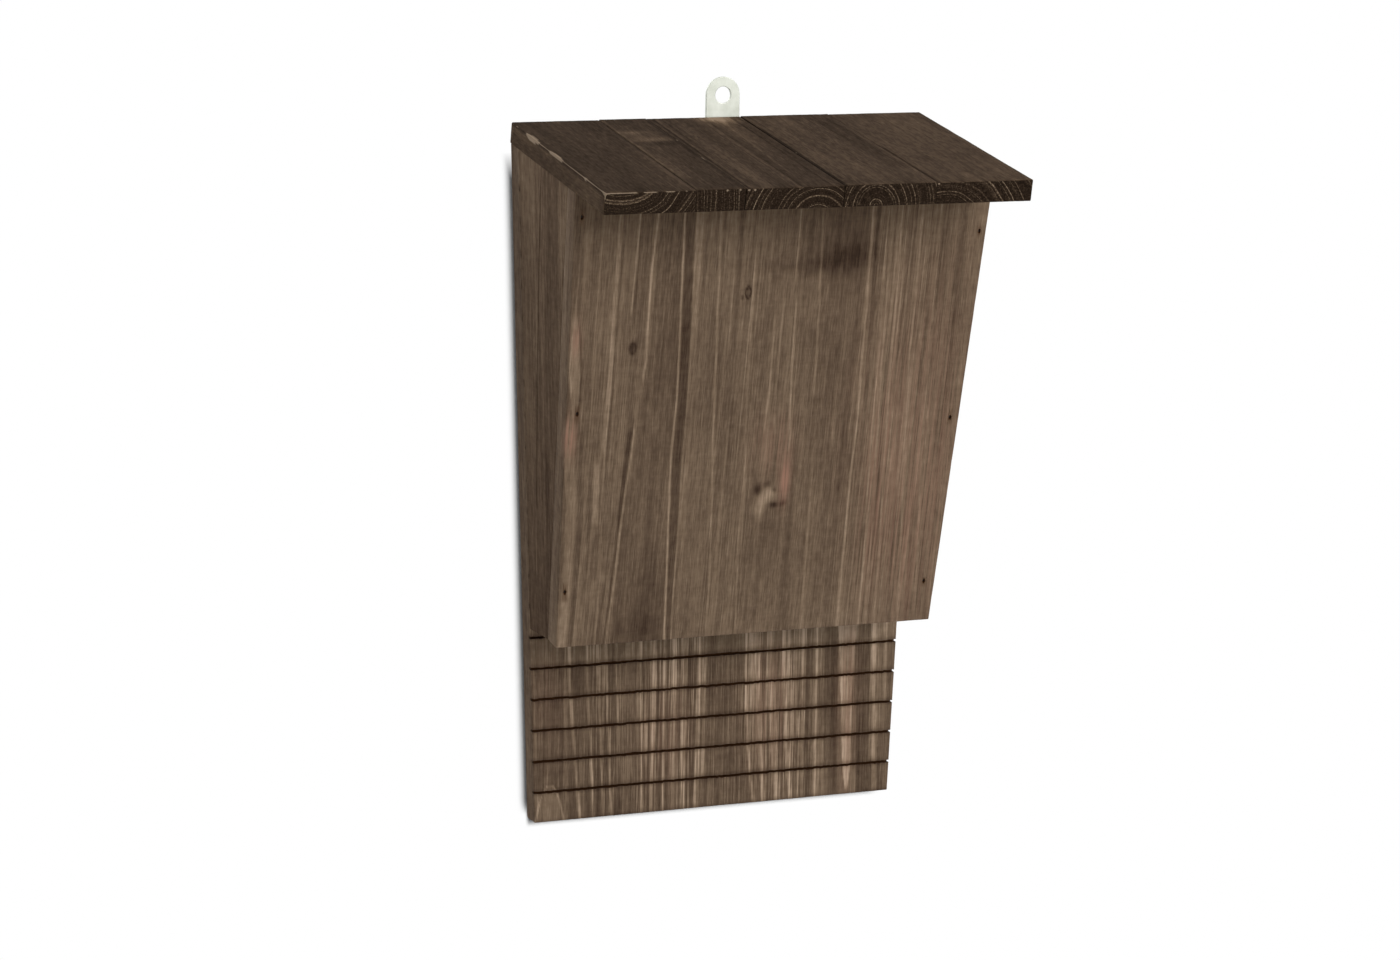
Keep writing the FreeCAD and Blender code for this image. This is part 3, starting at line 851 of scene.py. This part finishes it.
def growth_rings(add, local, ring_width, seed):
    """Pale late wood lines round the tree's heart, from 0 to 1, bent a little along and across."""
    bends = stretched_noise(add, local, RING_BENDS, seed, 2.0)
    shift = add("VectorMath SUBTRACT", [bends.outputs["Color"], (0.5, 0.5, 0.5)])
    shift = add("VectorMath MULTIPLY", [shift, RING_SHIFT])
    warped = add("VectorMath ADD", [local, shift])
    flat = add("VectorMath MULTIPLY", [warped, (1, 1, 0)])
    radius = add("VectorMath LENGTH", [flat]).outputs["Value"]
    uneven = add("TexNoise", {"W": radius, "Scale": UNEVEN_SCALE, "Detail": 1.0}, noise_dimensions="1D")
    years = add("Math MULTIPLY", [radius, 1 / ring_width])
    years = add("Math MULTIPLY_ADD", [uneven, UNEVEN_YEARS, years])
    within = add("Math FRACT", [years])
    year = add("Math FLOOR", [years])
    # Fainter lines between the rings, and rings of unlike strength
    faint = add("Math PINGPONG", [years, FAINT_STEP])
    faint = add("MapRange", [faint, FAINT_WIDTH, 0.0, 0.0, FAINT_STRENGTH])
    vigour = add("TexWhiteNoise", {"W": year}, noise_dimensions="1D")
    vigour = add("MapRange", [vigour, 0.0, 1.0, WEAKEST_RING])
    line = add("ValToRGB", {"Fac": within}, stops=(
        (0.0, "#000000"), (0.78, "#1c1c1c"), (0.9, "#ffffff"), (0.94, "#ffffff"), (1.0, "#000000")))
    line = add("Math MULTIPLY", [line, vigour])
    return add("Math MAXIMUM", [line, faint])


def stained_softwood(name, tree, grain_turn, finish, kerfs=None):
    """Brown stained spruce, sawn and lightly planed: dark early wood that drank the stain, narrow
    paler late wood lines, dull open fibres along the grain, and growth rings on the ends. tree is a
    point on its heart in mm, the width of its rings, the board's base tone and a seed; grain_turn
    turns Z about X onto the grain; kerfs is the height of a kerf's middle above that point, and the
    kerfs' pitch."""
    heart, ring_width, middle, seed = tree
    material, add, place = new_material(name)
    local = add("Mapping", {
        "Vector": place["Object"],
        "Location": [value * MM for value in heart],
        "Rotation": (grain_turn, 0, 0),
        "Scale": (MM, MM, MM),
    }, vector_type="TEXTURE")
    marks = {}
    for key in ("tone", "lines", "pooled", "rosy", "wear", "char"):
        marks[key] = add("Attribute", attribute_name=key).outputs["Fac"]
    ring = growth_rings(add, local, ring_width, seed)
    gains = [gain for cell, detail, gain in finish["patterns"].values()]
    level = middle - 0.25 * finish["rings"] - 0.5 * sum(gains)
    tone = add("Math MULTIPLY_ADD", [ring, finish["rings"], level])
    patterns = {}
    for number, (key, (cell, detail, gain)) in enumerate(finish["patterns"].items()):
        patterns[key] = stretched_noise(add, local, cell, seed + 3 * number, detail)
        tone = add("Math MULTIPLY_ADD", [patterns[key], gain, tone])
    lines = stretched_noise(add, local, FINE_LINE, seed + 60, 1.0)
    lines = add("MapRange", [lines, *FINE_CONTRAST], interpolation_type="SMOOTHSTEP")
    lines = add("Math MULTIPLY", [lines, marks["lines"]])
    for mark, gain in ((lines, LINE_GAIN), (marks["tone"], MARK_GAIN)):
        tone = add("Math MULTIPLY_ADD", [mark, gain, tone])

    if kerfs is not None:
        # The stain pools beside each kerf
        first, pitch = kerfs
        parts = add("SeparateXYZ", [local])
        away = add("Math SUBTRACT", [parts.outputs["Z"], first])
        away = add("Math PINGPONG", [away, pitch / 2])
        soak = add("MapRange", [away, *SOAKED, *SOAK_TONES], interpolation_type="SMOOTHSTEP")
        tone = add("Math MULTIPLY_ADD", [soak, marks["pooled"], tone])
    colour = add("ValToRGB", {"Fac": tone}, stops=finish["stain"])

    # Ends drink most stain: nearly black, with the late wood of each ring as a fine pale line
    axis = (0, -math.sin(grain_turn), math.cos(grain_turn))
    facing = add("VectorMath DOT_PRODUCT", [place["Normal"], axis])
    facing = add("Math ABSOLUTE", [facing.outputs["Value"]])
    is_end = add("MapRange", [facing, *FACING_END])
    pores = stretched_noise(add, local, PORES, seed + 40, 3.0)
    broken = add("Math MULTIPLY", [ring, pores])
    end_tone = add("Math MULTIPLY_ADD", [pores, *END_PORES])
    end_tone = add("Math MULTIPLY_ADD", [broken, END_RINGS, end_tone])
    end_colour = add("ValToRGB", {"Fac": end_tone}, stops=END_STAIN)

    # Over the stain lie rosy heartwood, bare wood where it is worn off, and the dark of the glue lines and
    # of the painted shade in the saw cuts and pin pits
    fibres = patterns["long fibres"]
    streaky = add("MapRange", [fibres, *ROSY_FIBRES])
    rosy = add("Math MULTIPLY", [marks["rosy"], streaky])
    wear = add("Math MULTIPLY", [marks["wear"], fibres])
    wear = add("MapRange", [wear, *WORN_FIBRES])
    covers = ((is_end, end_colour), (rosy, linear(ROSY_WOOD)), (wear, linear(BARE_WOOD)),
              (marks["char"], linear(finish["char"])))
    for share, cover in covers:
        colour = add("Mix", {0: share, 6: colour, 7: cover}, data_type="RGBA").outputs[2]

    # Fine relief of fibres and late wood
    height = add("Math MULTIPLY_ADD", [ring, 0.4, patterns["short fibres"]])
    bump = add("Bump", {"Height": height, "Strength": RELIEF, "Distance": FIBRE_HEIGHT * MM})
    rough = add("MapRange", [tone, 0.0, 1.0, *ROUGHNESS])
    shader = add("BsdfPrincipled", {
        "Base Color": colour, "Roughness": rough, "Specular IOR Level": finish["gloss"], "Normal": bump})
    add("OutputMaterial", {"Surface": shader})
    return material


ROLLING_LINE = (0.4, 0.4, 12)  # size of the strap's rolling lines


def zinc_plate():
    """Bright zinc plate on pressed steel strip: pale, slightly warm grey, satin, with faint rolling lines
    along the strap and a few handling marks."""
    material, add, place = new_material("zinc_plated_strip")
    scale = [1 / (side * MM) for side in ROLLING_LINE]
    drawn = add("Mapping", {"Vector": place["Object"], "Scale": scale})
    lines = add("TexNoise", {"Vector": drawn, "Scale": 1.0, "Detail": 3.0})
    clouds = add("TexNoise", {"Vector": place["Object"], "Scale": 160.0, "Detail": 3.0})
    colour = add("ValToRGB", {"Fac": clouds}, stops=((0.3, "#bfc3b8"), (0.7, "#d3d6cd")))
    rough = add("MapRange", [lines, 0.0, 1.0, 0.3, 0.52])
    bump = add("Bump", {"Height": lines, "Strength": 0.25, "Distance": 0.03 * MM})
    shader = add("BsdfPrincipled", {
        "Base Color": colour, "Metallic": 0.75, "Roughness": rough, "Normal": bump})
    add("OutputMaterial", {"Surface": shader})
    return material


def dark_pin_steel():
    """Bright-drawn steel brads, blackened where the stain ran into the holes: dark and dull."""
    material, add, place = new_material("stained_pin_steel")
    spots = add("TexNoise", {"Vector": place["Object"], "Scale": 1500.0, "Detail": 2.0})
    colour = add("ValToRGB", {"Fac": spots}, stops=((0.3, "#17100b"), (0.75, "#3a2f27")))
    shader = add("BsdfPrincipled", {"Base Color": colour, "Metallic": 0.6, "Roughness": 0.6})
    add("OutputMaterial", {"Surface": shader})
    return material


# Pieces

MARK_GAIN = 0.34               # tone given by a streak or patch of strength 1
LINE_GAIN = 0.3                # tone given by the fine lines where the attribute lines is 1
FINE_LINE = (0.95, 0.95, 75)
# Finishes: colours, gloss, how much the rings show, and each pattern's size in mm, detail and gain
BOARD_FINISH = {
    "stain": BOARD_STAIN,
    # colour of the painted shade in the kerfs and pin pits
    "char": "#4a2e18",
    "gloss": 0.05,
    "rings": 0.12,
    "patterns": {
        "short fibres": ((0.5, 0.5, 8), 2.0, 0.44),
        "long fibres": ((0.8, 0.8, 50), 3.0, 0.3),
        "strands": ((3.5, 3.5, 130), 4.0, 0.38),
        "mottle": ((4, 4, 5), 3.0, 0.26),
        "saw marks": ((9, 9, 1.5), 2.0, 0.1),
        "clouds": ((28, 28, 70), 3.0, 0.36),
    },
}
SIDE_FINISH = {**BOARD_FINISH, "gloss": 0.015}
ROOF_FINISH = {
    "stain": ROOF_STAIN,
    "char": "#120c07",
    "gloss": 0.02,
    "rings": 0.07,
    "patterns": {
        "short fibres": ((0.6, 0.6, 5), 2.0, 0.5),
        "long fibres": ((0.8, 0.8, 45), 3.0, 0.16),
        "strands": ((5, 5, 140), 3.0, 0.3),
        "mottle": ((2.5, 2.5, 5), 3.0, 0.36),
        "clouds": ((24, 24, 60), 3.0, 0.36),
    },
}

# Trees of the boards: a point on the heart, the rings' width, the board's base tone and a seed
FRONT_TREE = ((18, -30, -150), 3.6, 0.512, 1.0)
BACK_TREE = ((-25, 38, -200), 3.2, 0.455, 5.0)
SIDE_TREES = {"left": ((-97.5, 60, -150), 4.2, 0.46, 8), "right": ((92.5, 60, -150), 4.2, 0.46, 13)}

PIT_REACH = 2.4                # from a pin to the grid lines above and below its pit
LEFT_OF_SCREWS = -20           # places left of this are clear of the screws' holes
SIDE_FOOT = -261.3             # height of the side boards' foot
LANDING_TOP = SIDE_FOOT + 12   # the back board has close rows up to here
ARCH_ROWS = 21.2               # and closer ones this far up from its foot, over the pale arch
FOOT_ROWS = 0.5                # distance between lines round the foot's rear arris
KERF_END = 2.5                 # glue and dirt close the covered kerfs' ends over this length


def make_front_board():
    corners = outer_corners("front_board", (RIGHT, FRONT_INWARDS, ROOF_UP))
    foot = corners[0, 0, 0]
    rows = set()
    for low, high in FRONT_FINE_ROWS:
        first, last = [(level - foot[2]) / math.cos(ROOF_SLOPE) / ALONG_FINE for level in (low, high)]
        rows.update(ALONG_FINE * step for step in range(round(first), round(last) + 1))
    mesh = make_board("front_board_wood", corners, (ACROSS_FRONT, THROUGH, ALONG_FRONT), BOARD_EASE,
                      finish_front, more=((), (), sorted(rows)))
    heads = [pin_heads(f"front_pins_{side}", FRONT_INWARDS)[0] for side in SIDES]
    open_pits(mesh, heads[0] + heads[1], FRONT_INWARDS, ROOF_UP)
    material = stained_softwood("stained_spruce_front", FRONT_TREE, ROOF_SLOPE, BOARD_FINISH)
    finish_piece(mesh, material, ["front_board"])


def kerf_rows():
    """Heights of the kerfs' edges and the level of their floors, read from the CAD board."""
    points = cad_points("back_board")
    points = points[points[:, 0] < LEFT_OF_SCREWS]
    front, floor = np.unique(np.round(points[:, 1], 2))[:2]
    rows = np.unique(np.round(points[np.abs(points[:, 1] - floor) < 2 * SAME][:, 2], 2))
    return rows, floor - front


def make_back_board():
    corners = outer_corners("back_board", (RIGHT, BACK, UP))
    rows, depth = kerf_rows()
    foot = corners[0, 0, 0, 2]
    lows, highs = rows[::2] - foot, rows[1::2] - foot
    thickness = corners[0, 1, 0, 1] - corners[0, 0, 0, 1]
    width = corners[1, 0, 0, 0] - corners[0, 0, 0, 0]

    def is_empty(across, deep, up):
        in_kerf = np.zeros(up.shape, bool)
        for low, high in zip(lows, highs):
            in_kerf |= (up > low) & (up < high)
        at_end = (across < KERF_END) | (across > width - KERF_END)
        closed = at_end & (up > SIDE_FOOT - foot)
        return in_kerf & (deep < np.where(closed, BOARD_EASE + SAME, depth))

    heads = [pin_heads(f"back_pins_{side}", -BACK)[0] for side in SIDES]
    pin_rows = [head[2] - foot + step for head in heads[0] for step in (-PIT_REACH, PIT_REACH)]
    levels = [*lows, *highs, *pin_rows, *np.arange(ALONG_FOOT, ARCH_ROWS, ALONG_FOOT)]
    levels += [*np.arange(ARCH_ROWS + ALONG_LANDING, LANDING_TOP - foot, ALONG_LANDING)]
    depths = (depth, *np.arange(thickness - FOOT_ROUND, thickness, FOOT_ROWS))
    mesh = make_board("back_board_wood", corners, (ACROSS_BACK, THROUGH_BACK, None), BOARD_EASE,
                      finish_back(depth), more=((), depths, levels), is_empty=is_empty,
                      wear_down=tear_kerfs([*lows, *highs], depth))
    open_pits(mesh, heads[0] + heads[1], -BACK, UP)
    kerfs = ((rows[0] + rows[1]) / 2 - BACK_TREE[0][2], rows[2] - rows[0])
    material = stained_softwood("stained_spruce_back", BACK_TREE, 0.0, BOARD_FINISH, kerfs)
    finish_piece(mesh, material, ["back_board"])


def make_side_board(side, inwards):
    tree = SIDE_TREES[side]
    corners = outer_corners(f"side_board_{side}", (BACK, inwards, UP))
    mesh = make_board(f"side_board_{side}_wood", corners, (ACROSS, THROUGH, ALONG), BOARD_EASE,
                      finish_side(tree[3]))
    material = stained_softwood(f"stained_spruce_{side}", tree, 0.0, SIDE_FINISH)
    finish_piece(mesh, material, [f"side_board_{side}"])


# Hearts of the staves' trees (x, z at the front edge), ring widths, base tones and glue lines
STAVES = {
    1: ((-106, -12), 2.7, 0.33, (0.0, 0.0)),
    2: ((-150, -36), 3.0, 0.335, (0.0, 0.8)),
    3: ((-3.4, -52), 2.6, 0.36, (0.8, 0.7)),
    4: ((25.4, -42.8), 2.3, 0.43, (0.7, 0.3)),
    5: ((58, -66), 3.3, 0.45, (0.3, 0.0)),
}
ROOF_FRONT_Y = -125.0
ROOF_GRAIN = math.pi / 2 + ROOF_SLOPE


def make_roof_staves():
    for number, (heart, ring_width, middle, joints) in STAVES.items():
        node = f"roof_stave_{number}"
        corners = box_corners(node, (RIGHT, -ROOF_UP, ROOF_FORWARD))
        finish = finish_stave(number, joints, number == 1)
        mesh = make_board(f"{node}_wood", corners, (ACROSS, THROUGH_STAVE, ALONG), STAVE_EASE, finish)
        tree = ((heart[0], ROOF_FRONT_Y, heart[1]), ring_width, middle, 20.0 + number)
        material = stained_softwood(f"stained_spruce_stave_{number}", tree, ROOF_GRAIN, ROOF_FINISH)
        finish_piece(mesh, material, [node])


PIN_RADIUS, PIN_SIDES = 0.7, 14
PIN_INPUTS = {"Points": "Geometry", "Radius": "Float", "Length": "Float", "Turn": "Vector",
              "Finish": "Material"}


def pin_nodes():
    """Geometry Nodes that stand a pin on each point of a mesh."""
    tree = bpy.data.node_groups.new("driven_pins", "GeometryNodeTree")
    for name, kind in PIN_INPUTS.items():
        tree.interface.new_socket(name, in_out="INPUT", socket_type=f"NodeSocket{kind}")
    tree.interface.new_socket("Pins", in_out="OUTPUT", socket_type="NodeSocketGeometry")
    add = partial(add_node, tree)
    given = add("NodeGroupInput").outputs
    shank = add("GeometryNodeMeshCylinder", {
        "Vertices": PIN_SIDES, "Radius": given["Radius"], "Depth": given["Length"]})
    half = add("Math MULTIPLY", [given["Length"], 0.5])
    lift = add("CombineXYZ", {"Z": half})
    shank = add("GeometryNodeTransform", {"Geometry": shank, "Translation": lift})
    pins = add("GeometryNodeInstanceOnPoints", {
        "Points": given["Points"], "Instance": shank, "Rotation": given["Turn"]})
    pins = add("GeometryNodeRealizeInstances", {"Geometry": pins})
    pins = add("GeometryNodeSetMaterial", {"Geometry": pins, "Material": given["Finish"]})
    add("NodeGroupOutput", {"Pins": pins})
    return tree


def run_nodes(name, tree, points, values):
    """Plain mesh that a Geometry Nodes tree makes of these points, with its named inputs set."""
    seeds = bpy.data.meshes.new(name)
    seeds.from_pydata([list(point) for point in points], [], [])
    holder = add_object(name, seeds)
    modifier = holder.modifiers.new("make", "NODES")
    modifier.node_group = tree
    for item in tree.interface.items_tree:
        if item.in_out == "INPUT" and item.name in values:
            modifier[item.identifier] = values[item.name]
    return into_mesh(name, holder)


def make_pins():
    tree = pin_nodes()
    material = dark_pin_steel()
    for row, inwards in (("front", FRONT_INWARDS), ("back", -BACK)):
        turn = tuple(Vector(inwards).to_track_quat("Z", "Y").to_euler())
        for side in SIDES:
            node = f"{row}_pins_{side}"
            heads, length = pin_heads(node, inwards)
            values = {"Radius": PIN_RADIUS * MM, "Length": length * MM, "Turn": turn, "Finish": material}
            mesh = run_nodes(f"{node}_steel", tree, [head * MM for head in heads], values)
            finish_piece(mesh, material, [node], smooth_faces=False)


# Hanger's holes, as (height, radius), the radius of its rolled edges, and the sides of its round ends
# and holes
STRAP_HOLES = ((0, 4.2), (-33, 1.75), (-50, 1.75))
STRAP_ROLL = 0.2
END_SIDES, HOLE_SIDES = 28, 40


def arc(centre, radius, start, turn, sides):
    """Points of an arc about a point on the strap's middle line."""
    angles = [start + turn * step / sides for step in range(sides + (turn < 2 * math.pi))]
    return [(radius * math.cos(angle), centre + radius * math.sin(angle)) for angle in angles]


def make_hanger(material):
    """Strap with round ends and rolled edges, cut as one flat curve with its three holes."""
    low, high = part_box("hanger_plate")
    radius = (high.x - low.x) / 2
    roll = STRAP_ROLL * MM
    curve = bpy.data.curves.new("strap_outline", "CURVE")
    curve.dimensions = "2D"
    curve.fill_mode = "BOTH"
    curve.extrude = (high.y - low.y) / 2 - roll
    curve.bevel_depth = roll
    curve.bevel_resolution = 2
    curve.offset = -roll
    outline = arc(high.z - radius, radius, 0, math.pi, END_SIDES)
    outline += arc(low.z + radius, radius, math.pi, math.pi, END_SIDES)
    holes = [arc(height * MM, size * MM, 0, 2 * math.pi, HOLE_SIDES) for height, size in STRAP_HOLES]
    for loop in (outline, *holes):
        spline = curve.splines.new("POLY")
        spline.points.add(len(loop) - 1)
        for point, (x, z) in zip(spline.points, loop):
            point.co = (x, z, 0, 1)
        spline.use_cyclic_u = True
    mesh = into_mesh("hanger_strap", add_object("strap_outline", curve))
    upright = Matrix.Rotation(math.pi / 2, 4, "X")
    mesh.transform(Matrix.Translation((0, (low.y + high.y) / 2, 0)) @ upright)
    finish_piece(mesh, material, ["hanger_plate"], smooth_faces=False)


def dress_screws(material):
    """The CAD screws keep their shape: domed slotted heads."""
    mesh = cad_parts["hanger_screws"].data
    if not mesh.materials:
        mesh.materials.append(material)
    for number in range(len(mesh.materials)):
        mesh.materials[number] = material


# Surroundings

WALL_GAP = 4.5                 # back board's rear face to the wall, past the screw heads
FLOOR_LEVEL = -800.0
REACH = 2500.0                 # of the wall and the floor, from the box
# Wall's shadow: how near something has to be, its darkest tone, and the shares of open sky from which
# it lightens up to white, beside the box and under its foot
SHADOW_DISTANCE, SHADOW_TONE = 9.0, 0.06
SHADOW_BESIDE, SHADOW_UNDER = (0.5, 0.81), (0.83, 0.985)
FOOT_LEVELS, LEFT_EDGE = (-361.0, -358.0), (-97.5, -99.5)      # heights and places where these meet
SHADOW_MIDDLE = -208.0         # height of the middle of the wall's shadow, its reach up and down, and fade
SHADOW_REACH, SHADOW_FADE = 168.0, 14.0


def plane(name, corners, material):
    mesh = bpy.data.meshes.new(name)
    mesh.from_pydata([[value * MM for value in corner] for corner in corners], [], [(0, 1, 2, 3)])
    mesh.materials.append(material)
    piece = add_object(name, mesh)
    return piece


def show_front(add, front):
    """Ends a material whose faces are clear from behind, so that they hide nothing in any view."""
    clear = add("BsdfTransparent")
    facing = add("NewGeometry")
    shown = add("MixShader", [facing.outputs["Backfacing"], front, clear])
    add("OutputMaterial", {"Surface": shown})


def on_paths(add, *rays):
    """1 on light paths whose last ray is of one of these kinds."""
    path = add("LightPath")
    seen = path.outputs[rays[0]]
    for ray in rays[1:]:
        seen = add("Math MAXIMUM", [seen, path.outputs[ray]])
    return seen


def wall_paint():
    """Flat white wall that keeps the shadow in the gap behind the box, and is seen only from its front."""
    material, add, place = new_material("white_wall")
    near = add("AmbientOcclusion", {"Distance": SHADOW_DISTANCE * MM}, samples=24).outputs["AO"]
    shades = []
    for dark, light in (SHADOW_UNDER, SHADOW_BESIDE):
        shades.append(add("MapRange", [near, dark, light, SHADOW_TONE], interpolation_type="SMOOTHSTEP"))
    parts = add("SeparateXYZ", [place["Object"]]).outputs
    is_beside = []
    for part, (start, end) in ((parts["Z"], FOOT_LEVELS), (parts["X"], LEFT_EDGE)):
        is_beside.append(add("MapRange", [part, start * MM, end * MM]))
    is_beside = add("Math MAXIMUM", is_beside)
    gap = add("Mix", {0: is_beside, 2: shades[0], 3: shades[1]})
    away = add("Math SUBTRACT", [parts["Z"], SHADOW_MIDDLE * MM])
    away = add("Math ABSOLUTE", [away])
    away = add("MapRange", [away, SHADOW_REACH * MM, (SHADOW_REACH + SHADOW_FADE) * MM])
    gap = add("Math MAXIMUM", [gap, away])
    matt = add("BsdfDiffuse", {"Color": linear("#ffffff")})
    lit = add("Emission", {"Color": linear("#ffffff"), "Strength": gap})
    seen = on_paths(add, "Is Camera Ray", "Is Glossy Ray")
    show_front(add, add("MixShader", [seen, matt, lit]))
    return material


def floor_paint():
    """Plain pale floor, seen only from above."""
    material, add, place = new_material("pale_floor")
    grain = add("TexNoise", {"Vector": place["Object"], "Scale": 3.0})
    colour = add("ValToRGB", {"Fac": grain}, stops=((0.3, "#ededeb"), (0.7, "#f4f4f2")))
    show_front(add, add("BsdfDiffuse", {"Color": colour}))
    return material


def make_surroundings():
    far, low, gap = REACH, FLOOR_LEVEL, WALL_GAP
    wall = ((-far, gap, low), (far, gap, low), (far, gap, far), (-far, gap, far))
    floor = ((-far, -far, low), (far, -far, low), (far, far, low), (-far, far, low))
    plane("wall", wall, wall_paint()).visible_shadow = False
    plane("floor", floor, floor_paint())


# Lamps, as (position in m, power in W, colour), and the point in m that they are aimed at
LAMPS = {"key": ((1.3, -2.2, 1.0), 48, "#fffdfb"), "rear": ((-0.8, 2.2, 1.0), 30, "#ffffff")}
LAMP_SIZE = 1.4
LAMP_AIM = Vector((0, -0.06, -0.18))
SKY_STRENGTH = 0.32


def make_lights():
    """Two soft square lamps, and an even white sky that is brighter where it is seen."""
    for name, (position, power, colour) in LAMPS.items():
        lamp = bpy.data.lights.new(name, "AREA")
        lamp.size = LAMP_SIZE
        lamp.energy = power
        lamp.color = linear(colour)[:3]
        holder = add_object(name, lamp)
        holder.location = position
        holder.rotation_euler = (LAMP_AIM - holder.location).to_track_quat("-Z", "Y").to_euler()
    world = bpy.data.worlds.new("studio")
    bpy.context.scene.world = world
    world.use_nodes = True
    world.node_tree.nodes.clear()
    add = partial(add_node, world.node_tree)
    seen = on_paths(add, "Is Camera Ray", "Is Glossy Ray", "Is Transmission Ray")
    soft = add("Background", {"Color": linear("#ffffff"), "Strength": SKY_STRENGTH})
    white = add("Background", {"Color": linear("#ffffff"), "Strength": 1.0})
    sky = add("MixShader", [seen, soft, white])
    add("OutputWorld", {"Surface": sky})


# Camera, from a fit to the photograph's edges; its place is in m
IMAGE_WIDTH = 1400
FOCAL_PIXELS = 3796.35
SENSOR = 36.0
SHIFT = 0.1
YAW, PITCH, ROLL = math.radians(-21.25), math.radians(10.55), math.radians(0.63)
CAMERA_AT = (-0.75596, -1.72678, 0.15589)


def make_camera():
    data = bpy.data.cameras.new("camera")
    data.sensor_width = SENSOR
    data.lens = FOCAL_PIXELS * SENSOR / IMAGE_WIDTH
    data.shift_x = SHIFT
    data.clip_start = 0.05
    camera = add_object("camera", data)
    forward = Vector((-math.sin(YAW) * math.cos(PITCH), math.cos(YAW) * math.cos(PITCH), -math.sin(PITCH)))
    level = Vector((math.cos(YAW), math.sin(YAW), 0))
    upright = level.cross(forward)
    right = level * math.cos(ROLL) + upright * math.sin(ROLL)
    up = upright * math.cos(ROLL) - level * math.sin(ROLL)
    turn = Matrix((right, up, -forward)).transposed().to_4x4()
    camera.matrix_world = Matrix.Translation(CAMERA_AT) @ turn
    bpy.context.scene.camera = camera


def main():
    bpy.context.scene.view_settings.view_transform = "Standard"
    make_camera()
    make_lights()
    make_surroundings()
    make_front_board()
    make_back_board()
    make_side_board("left", RIGHT)
    make_side_board("right", -RIGHT)
    make_roof_staves()
    make_pins()
    zinc = zinc_plate()
    make_hanger(zinc)
    dress_screws(zinc)


main()
